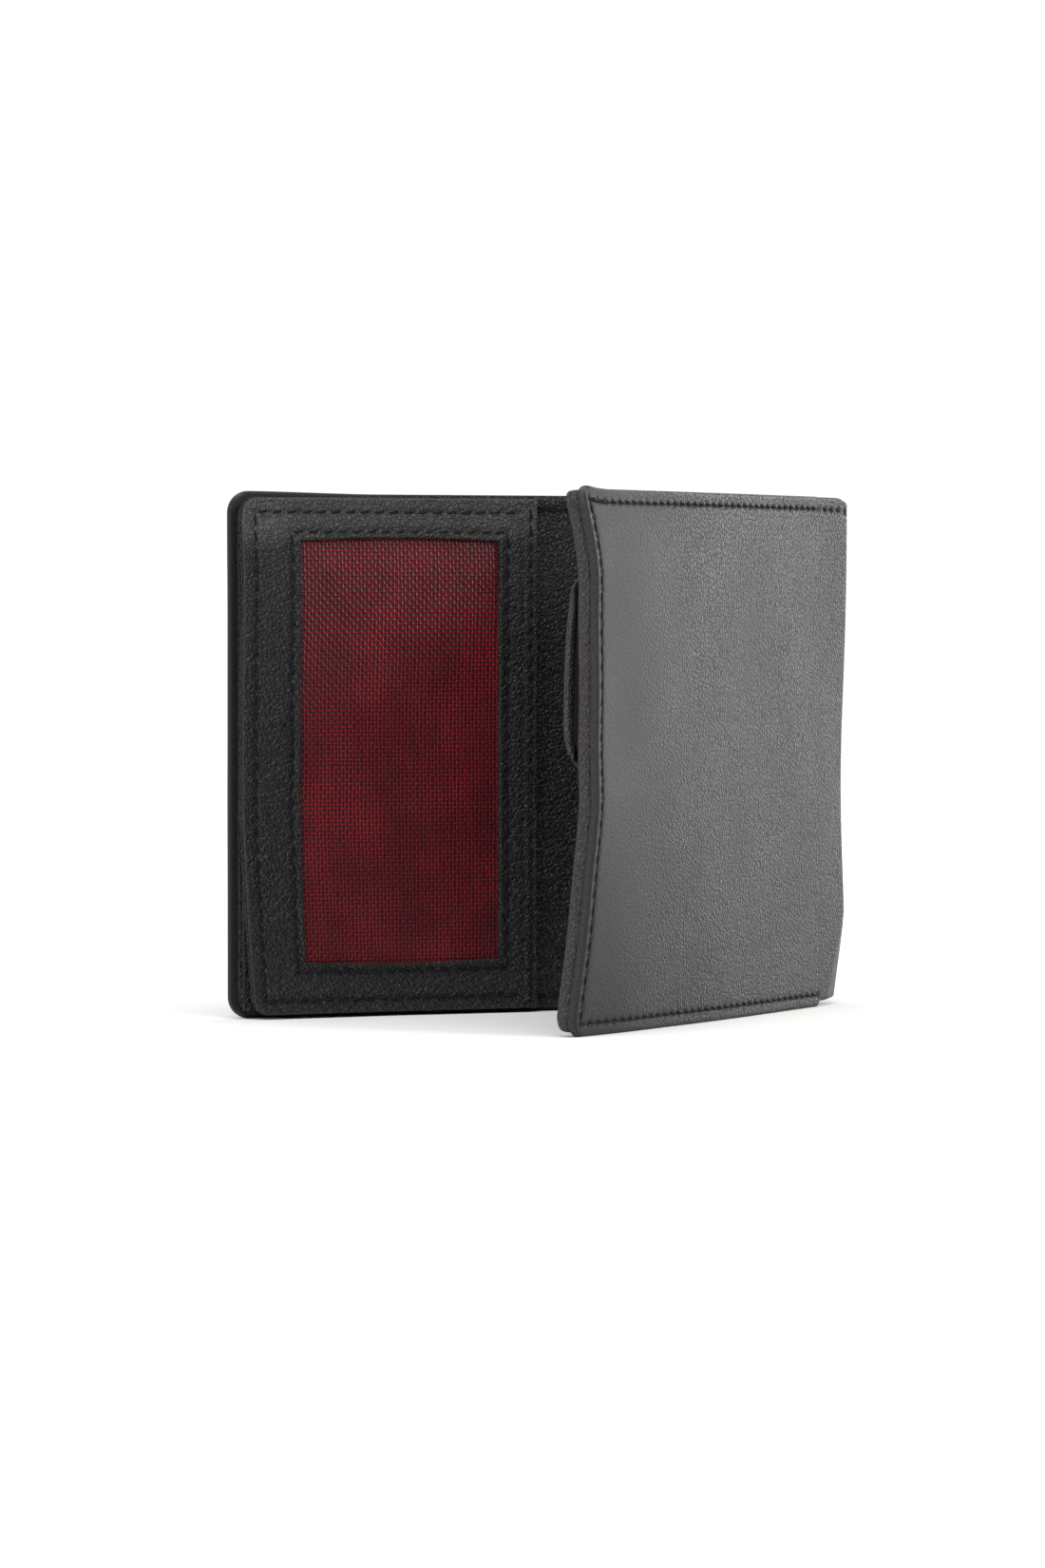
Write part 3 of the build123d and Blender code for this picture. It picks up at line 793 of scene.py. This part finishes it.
leaf_seam = (LEAF_LEFT + LEAF_MARGIN, LEAF_FOLD - 1.2, LEAF_LOW + LEAF_MARGIN, LEAF_HIGH - LEAF_MARGIN)
window_seam = (WINDOW[0] - WINDOW_MARGIN, WINDOW[1] + WINDOW_MARGIN,
               WINDOW[2] - WINDOW_MARGIN, WINDOW[3] + WINDOW_MARGIN)
leaf_run = inset_run(*leaf_seam)
window_run = inset_run(*window_seam)
window_run = window_run + window_run[:1]
hinge_run = [(HINGE_SEAM_X, 2.0), (HINGE_SEAM_X, HEIGHT - 2.0)]
frame_rows = seam_press([leaf_run, window_run, hinge_run])


def frame_press(x, z):
    """Sewn rows, the raised lip round the window, and the shallow crease that the leaf turns on."""
    left, right, low, high = WINDOW
    beyond = np.maximum.reduce([left - x, x - right, low - z, z - high])
    lip = WINDOW_LIP * np.exp(-((beyond - 0.45) / 0.5) ** 2)
    crease = 0.22 * np.exp(-((x - LEAF_FOLD) / 0.5) ** 2)
    return frame_rows(x, z) + crease - lip


def window_edge(low, high):
    """Grid lines over the rolled edges of the window."""
    return [low - FRAME_EDGE * r for r in ROLL_STEPS] + [high + FRAME_EDGE * r for r in ROLL_STEPS]


leaf_xs = lines(LEAF_LEFT, LEAF_RIGHT, FINE, FRAME_EDGE,
                (leaf_seam[0], HINGE_SEAM_X, *window_seam[:2], LEAF_FOLD),
                (LEAF_LEFT + LEAF_CORNER, *window_edge(*WINDOW[:2])))
leaf_zs = lines(LEAF_LOW, LEAF_HIGH, FINE, FRAME_EDGE, (*leaf_seam[2:], *window_seam[2:]),
                (LEAF_LOW + LEAF_CORNER, LEAF_HIGH - LEAF_CORNER, *window_edge(*WINDOW[2:])))


def painted_top_light(x, z):
    """Painted light: the leaf's top band is painted paler, and a little its left side, as if lit from above
    and from the left.
    """
    return 1.5 * ease((z - 84) / 7) + 0.4 * ease((12 - x) / 6)


# The frame's paler top band and left side are painted light.
leaf_frame_leather = panel("leaf_frame_leather", leaf_xs, leaf_zs, (LEAF_FACE - FRAME_LEATHER, LEAF_FACE),
                           on_back, panel_nappa, (LEAF_CORNER, LEAF_CORNER, 0, 0), (0.3, FRAME_EDGE),
                           hole=WINDOW, press=(None, frame_press), shape=window_shape, wear_and_light=painted_top_light)
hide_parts("leaf_frame")
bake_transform(leaf_frame_leather)

hinge_leather = panel("leaf_hinge_leather", lines(LEAF_FOLD + 0.15, LEAF_RIGHT, 0.8, 0.3),
                      lines(LEAF_LOW, LEAF_HIGH, 2.0, 0.3), (PANEL_FACE, LEAF_FACE - FRAME_LEATHER), on_back,
                      panel_nappa, roll=(0.2, 0.3), shape=back_shape)
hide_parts("leaf_hinge_strip")
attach(hinge_leather, "back_half")

leaf_span = (LEAF_LEFT, LEAF_FOLD - 0.15)
sheet_edge = 0.22
leaf_corners_z = (LEAF_LOW + LEAF_CORNER, LEAF_HIGH - LEAF_CORNER)
sheet_xs = lines(*leaf_span, 1.5, sheet_edge, (), (LEAF_LEFT + LEAF_CORNER,))
sheet_zs = lines(LEAF_LOW, LEAF_HIGH, 1.5, sheet_edge, (), leaf_corners_z)
leaf_back = panel("leaf_back_leather_sheet", sheet_xs, sheet_zs, (LEAF_BACK, LEAF_BACK + BACK_SHEET),
                  on_back, panel_nappa, (LEAF_CORNER, LEAF_CORNER, 0, 0), (sheet_edge, sheet_edge),
                  shape=leaf_shape)
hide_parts("leaf_back_leather")
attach(leaf_back, "window_leaf")

NET_X, NET_Z = (8.3, 55.3), (6.8, 90.8)
rim_inset = 0.25
rim_xs = lines(LEAF_LEFT + rim_inset, leaf_span[1], 1.5, 0.2, (), (LEAF_LEFT + LEAF_CORNER, *NET_X))
rim_zs = lines(LEAF_LOW + rim_inset, LEAF_HIGH - rim_inset, 1.5, 0.2, (), (*leaf_corners_z, *NET_Z))
leaf_rim = panel("leaf_rim_leather", rim_xs, rim_zs, (LEAF_BACK + BACK_SHEET, LEAF_FACE - FRAME_LEATHER),
                 on_back, panel_nappa, (LEAF_CORNER - rim_inset, LEAF_CORNER - rim_inset, 0, 0),
                 hole=(*NET_X, *NET_Z), shape=leaf_shape)
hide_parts("leaf_edge_filler")
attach(leaf_rim, "window_leaf")

laid_cloth("leaf_backing_cloth", NET_X, NET_Z, LEAF_NET - CLOTH, on_back, "window_leaf",
           "leaf_window_backing", leaf_shape)

for name, runs, node, body in (("leaf_edge_thread", [leaf_run], "leaf_edge_seam", "window_leaf"),
                               ("leaf_window_thread", [window_run], "leaf_window_seam", "window_leaf"),
                               ("leaf_hinge_thread", [hinge_run], "leaf_hinge_seam", "back_half")):
    thread = stitches(name, runs, LEAF_FACE, 1, on_back, waxed_thread, leaf_shape)
    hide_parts(node)
    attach(thread, body)

# The net is an open plain weave of polyester yarn, held stretched under the frame. Each yarn
# goes over one crossing yarn and under the next. Its upright yarns are given a paler painted
# highlight colour, and broad soft painted light and shade runs over all the yarn.
NET_PITCH = 0.75
YARN = 0.11
YARN_SWING = 0.13
NET_DEPTH = 4.25
UPRIGHT_GLINT = 0.16

net_yarn, tree = surface("open_weave_polyester_yarn_burgundy")
cut = add(tree, "Attribute", attribute_name="cut").outputs["Vector"]
upright = add(tree, "Attribute", attribute_name="wear_and_light_mark").outputs["Fac"]
# Painted light and shade: broad soft noise, as of the net lying in waves.
waves = add(tree, "TexNoise", {"Vector": cut, "Scale": 0.08, "Detail": 3.0, "Roughness": 0.55})
fibre = add(tree, "TexNoise", {"Vector": cut, "Scale": 6.0, "Detail": 2.0})
texture_and_painted_shade = add(tree, "Math", {0: waves.outputs["Fac"], 1: fibre.outputs["Fac"]}, operation="ADD")
level = add(tree, "MapRange", {"Value": texture_and_painted_shade.outputs[0], "From Min": 0.6, "From Max": 1.4})
shade = add(tree, "Mix", {"Factor": level.outputs[0], "A": srgb("#3c040e"), "B": srgb("#980a20")},
            data_type="RGBA")
# A painted highlight colour for the upright yarns.
glint = add(tree, "Mix", {"Factor": level.outputs[0], "A": srgb("#5c1a22"), "B": srgb("#d07a80")},
            data_type="RGBA")
colour = add(tree, "Mix", {"Factor": upright, "A": shade.outputs["Result"], "B": glint.outputs["Result"]},
             data_type="RGBA")
finish_with(tree, Base_Color=colour.outputs["Result"], Roughness=0.34, Specular_IOR_Level=0.5)


def yarns(fixed, span, upright, offset):
    """Tubes along one direction of the net, at fixed places over a span; offset 1 starts them under."""
    steps = np.arange(span[0], span[1] + NET_PITCH / 4, NET_PITCH / 2)
    turn = np.arange(THREAD_SIDES) * 2 * math.pi / THREAD_SIDES
    cuts, faces = [], []
    tube = tube_faces(len(steps))
    for k, place in enumerate(fixed):
        swing = YARN_SWING * np.cos((steps - span[0]) / NET_PITCH * math.pi + math.pi * (k + offset))
        wander = 0.05 * np.sin(steps * 0.31 + k * 1.7) + 0.04 * np.sin(steps * 0.93 + k * 2.9)
        side_off = place + wander[:, None] + YARN * np.cos(turn)[None]
        deep = NET_DEPTH + swing[:, None] + YARN * np.sin(turn)[None]
        run = np.repeat(steps[:, None], THREAD_SIDES, 1)
        ordered = (side_off, run, deep) if upright else (run, side_off, deep)
        faces.append(tube + len(cuts) * run.size)
        cuts.append(np.stack(ordered, -1).reshape(-1, 3))
    return np.concatenate(cuts), np.concatenate(faces)


warp_cut, warp_faces = yarns(np.arange(NET_X[0], NET_X[1], NET_PITCH), NET_Z, True, 0)
weft_cut, weft_faces = yarns(np.arange(NET_Z[0], NET_Z[1], NET_PITCH), NET_X, False, 1)
net_cut = np.concatenate([warp_cut, weft_cut])
net_faces = np.concatenate([warp_faces, weft_faces + len(warp_cut)])
net_glint = np.concatenate([np.full(len(warp_cut), UPRIGHT_GLINT), np.zeros(len(weft_cut))])
window_net = solid("leaf_window_net_weave", net_cut, on_back(*leaf_shape(*net_cut.T)), net_faces, net_glint,
                   net_yarn)
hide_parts("leaf_window_net")
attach(window_net, "window_leaf")

# ---- Coin pocket ----
# The front cover's inner side carries a coin pocket: a cloth back wall, a leather strip round
# three sides that gives it depth, a leather front wall, and above it the strip the flap is sewn to.
POCKET_X = (50.0, 121.6)
POCKET_Z = (2.0, 68.0)
POCKET_FACE = 4.0
CAVITY = (2.6, 3.2)
GUSSET = 4.0
STRIP_Z = (80.0, 94.0)
POCKET_SEAM_X = (51.5, 120.1)
POCKET_SEAM_LOW = 3.5
seam_left, seam_right = POCKET_SEAM_X
pocket_runs = [[(seam_left, POCKET_Z[1]), (seam_left, POCKET_SEAM_LOW), (seam_right, POCKET_SEAM_LOW),
                (seam_right, POCKET_Z[1])]]

laid_cloth("coin_pocket_back_cloth", POCKET_X, (POCKET_Z[0], STRIP_Z[0] - 0.5), PANEL_FACE, on_front,
           "front_half", "coin_pocket_lining", front_shape)

strip_edge = 0.2
cavity_x = (POCKET_X[0] + GUSSET, POCKET_X[1] - GUSSET)
cavity_low = POCKET_Z[0] + GUSSET
gusset = panel("coin_pocket_side_strip", lines(*POCKET_X, 1.5, strip_edge, (), cavity_x),
               lines(*POCKET_Z, 1.5, strip_edge, (), (cavity_low,)), CAVITY, on_front, panel_nappa,
               roll=(strip_edge, strip_edge), shape=front_shape,
               hole=(*cavity_x, cavity_low, POCKET_Z[1] + 1))
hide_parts("coin_pocket_gusset")
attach(gusset, "front_half")

wall_xs = lines(*POCKET_X, 1.0, FRAME_EDGE, POCKET_SEAM_X)
wall_zs = lines(*POCKET_Z, 1.0, FRAME_EDGE, (POCKET_SEAM_LOW,))
pocket_front = panel("coin_pocket_wall", wall_xs, wall_zs, (CAVITY[1], POCKET_FACE), on_front, panel_nappa,
                     roll=(0.3, FRAME_EDGE), press=(None, seam_press(pocket_runs)), shape=front_shape)
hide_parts("coin_pocket_front")
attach(pocket_front, "front_half")

thread = stitches("coin_pocket_thread", pocket_runs, POCKET_FACE, 1, on_front, waxed_thread, front_shape)
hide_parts("coin_pocket_seam")
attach(thread, "front_half")

# ---- Coin flap ----
# A leather tongue lined with cloth, cut in one with the strip above the pocket and creased below
# that strip. Its two free sides bow away from the pocket; its middle is held down by the snap.
FLAP_X = (54.0, 123.5)
FLAP_Z = (46.0, 78.8)
FLAP_DEPTH, FLAP_CLOTH, FLAP_FACE = 4.3, 4.7, 5.4
FLAP_CORNER = 8.0
FLAP_HEM = 2.6
CREASE_Z = 80.0
STRIP_SEAM_Z = 82.0
STRIP_CORNER = 2.5
BOW = 1.9
SNAP = (88.75, 53.0)


def flap_bow(x, z):
    """The free sides of the flap stand off the pocket, between its crease and its lower edge."""
    side = np.clip((np.abs(x - SNAP[0]) - 12) / 23, 0, 1) ** 2
    return BOW * side * np.sin(np.clip((CREASE_Z - z) / 44, 0, 1) * math.pi) ** 0.8


def flap_shape(x, z, depth):
    """The flap follows the front cover, with its bow on top."""
    x, z, deep = front_shape(x, z, depth)
    return x, z, deep + flap_bow(x, z)


mount_runs = [[(seam_left, STRIP_SEAM_Z), (seam_right, STRIP_SEAM_Z)]]
strip_xs = lines(*POCKET_X, 1.0, 0.3, (), (POCKET_X[1] - STRIP_CORNER,))
strip_zs = lines(*STRIP_Z, 0.8, 0.3, (STRIP_SEAM_Z,), (STRIP_Z[1] - STRIP_CORNER, STRIP_Z[0] + STRIP_CORNER))
mount = panel("coin_flap_strip", strip_xs, strip_zs, (PANEL_FACE, POCKET_FACE), on_front, panel_nappa,
              (0, 0, 0, STRIP_CORNER), (0.3, 0.5),
              press=(None, seam_press(mount_runs)), shape=front_shape)
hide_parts("coin_flap_mount")
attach(mount, "front_half")
thread = stitches("coin_flap_thread", mount_runs, POCKET_FACE, 1, on_front, waxed_thread, front_shape)
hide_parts("coin_flap_seam")
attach(thread, "front_half")


def flap_level(start, face):
    """The flap's leather comes down off the strip above: it starts thin and level with the strip."""
    def level(x, z):
        return start + (face - start) * ease((CREASE_Z + 1.6 - z) / 3.2)
    return level


def flap_inner(x, z):
    """Near the flap's free edges its leather is turned under, as far as the lining."""
    near = np.minimum.reduce([x - FLAP_X[0], FLAP_X[1] - x, z - FLAP_Z[0]])
    hem = (FLAP_CLOTH - FLAP_DEPTH) * ease((FLAP_HEM - near) / 0.6) * ease((CREASE_Z - 2 - z) / 3)
    return flap_level(3.35, FLAP_CLOTH)(x, z) - hem


def painted_flap_side_light(x, z):
    """Painted light: a painted rim highlight, a paler colour along the flap's two free sides."""
    return 1.3 * ease((np.abs(x - SNAP[0]) - 31) / 2.5)


flap_edge = 0.5
crease_zs = np.arange(CREASE_Z - 3, CREASE_Z + 2, 0.4)
flap_zs = lines(FLAP_Z[0], CREASE_Z + 1.5, 0.7, flap_edge, (), (FLAP_Z[0] + FLAP_CORNER, *crease_zs))
flap_xs = lines(*FLAP_X, 1.0, flap_edge, (), (FLAP_X[0] + FLAP_CORNER, FLAP_X[1] - FLAP_CORNER))
# The flap's paler free sides are a painted rim highlight.
flap_leather = panel("coin_flap_tongue", flap_xs, flap_zs, (flap_inner, flap_level(3.95, FLAP_FACE)),
                     on_front, panel_nappa, (FLAP_CORNER, 0, FLAP_CORNER, 0), (0.4, flap_edge),
                     shape=flap_shape, wear_and_light=painted_flap_side_light)
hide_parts("coin_flap_leather")
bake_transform(flap_leather)

CLOTH_INSET = FLAP_HEM - 0.6
cloth_x = (FLAP_X[0] + CLOTH_INSET, FLAP_X[1] - CLOTH_INSET)
cloth_z = (FLAP_Z[0] + CLOTH_INSET, FLAP_Z[1])
cloth_corner = FLAP_CORNER - CLOTH_INSET
cloth_edge = 0.15
cloth_xs = lines(*cloth_x, 2.0, cloth_edge, (), (cloth_x[0] + cloth_corner, cloth_x[1] - cloth_corner))
cloth_zs = lines(*cloth_z, 2.0, cloth_edge, (), (cloth_z[0] + cloth_corner,))
flap_cloth = panel("coin_flap_cloth", cloth_xs, cloth_zs, (FLAP_DEPTH - 0.05, FLAP_CLOTH), on_front,
                   burgundy_lining, (cloth_corner, 0, cloth_corner, 0), (cloth_edge, 0.1), shape=flap_shape)
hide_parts("coin_flap_lining")
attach(flap_cloth, "coin_flap")

# ---- Snap fastener ----
# A pressed brass snap, black nickel plated: the cap and its socket are riveted through the
# flap, the stud and its washer through the pocket's wall.
# Its plating has a faint haze about a millimetre across.
HAZE_PER_METRE = 900.0
black_nickel, tree = surface("black_nickel_plated_brass")
here = add(tree, "TexCoord").outputs["Object"]
haze = add(tree, "TexNoise", {"Vector": here, "Scale": HAZE_PER_METRE, "Detail": 4.0})
dull = add(tree, "MapRange", {"Value": haze.outputs["Fac"], "To Min": 0.2, "To Max": 0.38})
tint = add(tree, "Mix", {"Factor": haze.outputs["Fac"], "A": srgb("#4c4a4c"), "B": srgb("#6a6768")},
           data_type="RGBA")
finish_with(tree, Base_Color=tint.outputs["Result"], Metallic=1.0, Roughness=dull.outputs[0])
for node in ("snap_cap", "snap_socket", "snap_stud", "snap_washer"):
    metal_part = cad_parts[node]
    metal_part.data.materials.clear()
    metal_part.data.materials.append(black_nickel)
